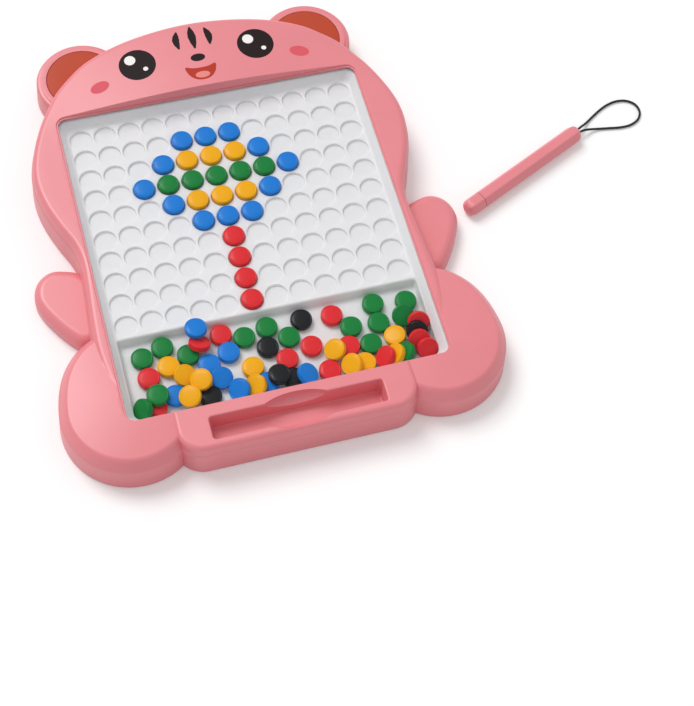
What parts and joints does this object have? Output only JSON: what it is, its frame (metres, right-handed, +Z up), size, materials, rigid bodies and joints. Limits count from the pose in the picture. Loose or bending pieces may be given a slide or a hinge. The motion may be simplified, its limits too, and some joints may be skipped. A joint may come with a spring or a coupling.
{
  "type": "magnetic drawing board",
  "caption": "Toddler's magnetic dot board shaped like a round-eared animal: loose beads under a clear sheet are lifted into wells with a magnet pen; carrying handle with a pen trough.",
  "frame": {"origin": "on the flat underside, below the middle of the grid of wells", "axes": "+Z up out of the drawing face, +Y from the handle to the head, +X to the right of someone who looks at the face"},
  "size_m": [0.4066, 0.3041, 0.0308],
  "materials": {
    "case_pink": "satin moulded",
    "ear_orange": "satin moulded",
    "tray_white": "satin moulded",
    "clear_sheet": "clear polished plastic",
    "screw_steel": "zinc plated",
    "magnet_grey": "nickel plated magnet",
    "cord_black": "woven cord",
    "bead_blue": "glossy",
    "bead_yellow": "glossy",
    "bead_green": "glossy",
    "bead_red": "glossy",
    "bead_black": "glossy"
  },
  "bodies": {
    "board": {"front_shell": "case_pink", "rear_cover": "case_pink", "dot_panel": "tray_white", "window_sheet": "clear_sheet", "right_ear_inlay": "ear_orange", "left_ear_inlay": "ear_orange", "left_foot_screw": "screw_steel", "right_foot_screw": "screw_steel", "left_cheek_screw": "screw_steel", "right_cheek_screw": "screw_steel", "left_head_screw": "screw_steel", "right_head_screw": "screw_steel", "loose_bead_green_01": "bead_green", "loose_bead_green_02": "bead_green", "loose_bead_yellow_03": "bead_yellow", "loose_bead_red_04": "bead_red", "loose_bead_green_05": "bead_green", "loose_bead_blue_06": "bead_blue", "loose_bead_blue_07": "bead_blue", "loose_bead_red_08": "bead_red", "loose_bead_green_09": "bead_green", "loose_bead_black_10": "bead_black", "loose_bead_green_11": "bead_green", "loose_bead_black_12": "bead_black", "loose_bead_red_13": "bead_red", "loose_bead_green_14": "bead_green", "loose_bead_green_15": "bead_green"},
    "pen": {"pen_barrel": "case_pink", "pen_tip": "case_pink", "pen_magnet": "magnet_grey", "pen_loop": "cord_black"},
    "bead_blue_01": {"picture_bead_blue_01": "bead_blue"},
    "bead_blue_02": {"picture_bead_blue_02": "bead_blue"},
    "bead_blue_03": {"picture_bead_blue_03": "bead_blue"},
    "bead_blue_04": {"picture_bead_blue_04": "bead_blue"},
    "bead_yellow_01": {"picture_bead_yellow_01": "bead_yellow"},
    "bead_yellow_02": {"picture_bead_yellow_02": "bead_yellow"},
    "bead_yellow_03": {"picture_bead_yellow_03": "bead_yellow"},
    "bead_blue_05": {"picture_bead_blue_05": "bead_blue"},
    "bead_blue_06": {"picture_bead_blue_06": "bead_blue"},
    "bead_green_01": {"picture_bead_green_01": "bead_green"},
    "bead_green_02": {"picture_bead_green_02": "bead_green"},
    "bead_green_03": {"picture_bead_green_03": "bead_green"},
    "bead_green_04": {"picture_bead_green_04": "bead_green"},
    "bead_green_05": {"picture_bead_green_05": "bead_green"},
    "bead_blue_07": {"picture_bead_blue_07": "bead_blue"},
    "bead_blue_08": {"picture_bead_blue_08": "bead_blue"},
    "bead_yellow_04": {"picture_bead_yellow_04": "bead_yellow"},
    "bead_yellow_05": {"picture_bead_yellow_05": "bead_yellow"},
    "bead_yellow_06": {"picture_bead_yellow_06": "bead_yellow"},
    "bead_blue_09": {"picture_bead_blue_09": "bead_blue"},
    "bead_blue_10": {"picture_bead_blue_10": "bead_blue"},
    "bead_blue_11": {"picture_bead_blue_11": "bead_blue"},
    "bead_blue_12": {"picture_bead_blue_12": "bead_blue"},
    "bead_red_01": {"picture_bead_red_01": "bead_red"},
    "bead_red_02": {"picture_bead_red_02": "bead_red"},
    "bead_red_03": {"picture_bead_red_03": "bead_red"},
    "bead_red_04": {"picture_bead_red_04": "bead_red"}
  },
  "joints": [
    {"name": "bead_blue_01_lift", "type": "slide", "parent": "board", "child": "bead_blue_01", "axis": [0, 0, 1], "range_m": [0, 0.0026]},
    {"name": "bead_blue_02_lift", "type": "slide", "parent": "board", "child": "bead_blue_02", "axis": [0, 0, 1], "range_m": [0, 0.0026]},
    {"name": "bead_blue_03_lift", "type": "slide", "parent": "board", "child": "bead_blue_03", "axis": [0, 0, 1], "range_m": [0, 0.0026]},
    {"name": "bead_blue_04_lift", "type": "slide", "parent": "board", "child": "bead_blue_04", "axis": [0, 0, 1], "range_m": [0, 0.0026]},
    {"name": "bead_yellow_01_lift", "type": "slide", "parent": "board", "child": "bead_yellow_01", "axis": [0, 0, 1], "range_m": [0, 0.0026]},
    {"name": "bead_yellow_02_lift", "type": "slide", "parent": "board", "child": "bead_yellow_02", "axis": [0, 0, 1], "range_m": [0, 0.0026]},
    {"name": "bead_yellow_03_lift", "type": "slide", "parent": "board", "child": "bead_yellow_03", "axis": [0, 0, 1], "range_m": [0, 0.0026]},
    {"name": "bead_blue_05_lift", "type": "slide", "parent": "board", "child": "bead_blue_05", "axis": [0, 0, 1], "range_m": [0, 0.0026]},
    {"name": "bead_blue_06_lift", "type": "slide", "parent": "board", "child": "bead_blue_06", "axis": [0, 0, 1], "range_m": [0, 0.0026]},
    {"name": "bead_green_01_lift", "type": "slide", "parent": "board", "child": "bead_green_01", "axis": [0, 0, 1], "range_m": [0, 0.0026]},
    {"name": "bead_green_02_lift", "type": "slide", "parent": "board", "child": "bead_green_02", "axis": [0, 0, 1], "range_m": [0, 0.0026]},
    {"name": "bead_green_03_lift", "type": "slide", "parent": "board", "child": "bead_green_03", "axis": [0, 0, 1], "range_m": [0, 0.0026]},
    {"name": "bead_green_04_lift", "type": "slide", "parent": "board", "child": "bead_green_04", "axis": [0, 0, 1], "range_m": [0, 0.0026]},
    {"name": "bead_green_05_lift", "type": "slide", "parent": "board", "child": "bead_green_05", "axis": [0, 0, 1], "range_m": [0, 0.0026]},
    {"name": "bead_blue_07_lift", "type": "slide", "parent": "board", "child": "bead_blue_07", "axis": [0, 0, 1], "range_m": [0, 0.0026]},
    {"name": "bead_blue_08_lift", "type": "slide", "parent": "board", "child": "bead_blue_08", "axis": [0, 0, 1], "range_m": [0, 0.0026]},
    {"name": "bead_yellow_04_lift", "type": "slide", "parent": "board", "child": "bead_yellow_04", "axis": [0, 0, 1], "range_m": [0, 0.0026]},
    {"name": "bead_yellow_05_lift", "type": "slide", "parent": "board", "child": "bead_yellow_05", "axis": [0, 0, 1], "range_m": [0, 0.0026]},
    {"name": "bead_yellow_06_lift", "type": "slide", "parent": "board", "child": "bead_yellow_06", "axis": [0, 0, 1], "range_m": [0, 0.0026]},
    {"name": "bead_blue_09_lift", "type": "slide", "parent": "board", "child": "bead_blue_09", "axis": [0, 0, 1], "range_m": [0, 0.0026]},
    {"name": "bead_blue_10_lift", "type": "slide", "parent": "board", "child": "bead_blue_10", "axis": [0, 0, 1], "range_m": [0, 0.0026]},
    {"name": "bead_blue_11_lift", "type": "slide", "parent": "board", "child": "bead_blue_11", "axis": [0, 0, 1], "range_m": [0, 0.0026]},
    {"name": "bead_blue_12_lift", "type": "slide", "parent": "board", "child": "bead_blue_12", "axis": [0, 0, 1], "range_m": [0, 0.0026]},
    {"name": "bead_red_01_lift", "type": "slide", "parent": "board", "child": "bead_red_01", "axis": [0, 0, 1], "range_m": [0, 0.0026]},
    {"name": "bead_red_02_lift", "type": "slide", "parent": "board", "child": "bead_red_02", "axis": [0, 0, 1], "range_m": [0, 0.0026]},
    {"name": "bead_red_03_lift", "type": "slide", "parent": "board", "child": "bead_red_03", "axis": [0, 0, 1], "range_m": [0, 0.0026]},
    {"name": "bead_red_04_lift", "type": "slide", "parent": "board", "child": "bead_red_04", "axis": [0, 0, 1], "range_m": [0, 0.0026]},
    {"name": "pen_lift", "type": "slide", "parent": "board", "child": "pen", "axis": [0, 0, 1], "range_m": [0, 0.06]}
  ]
}
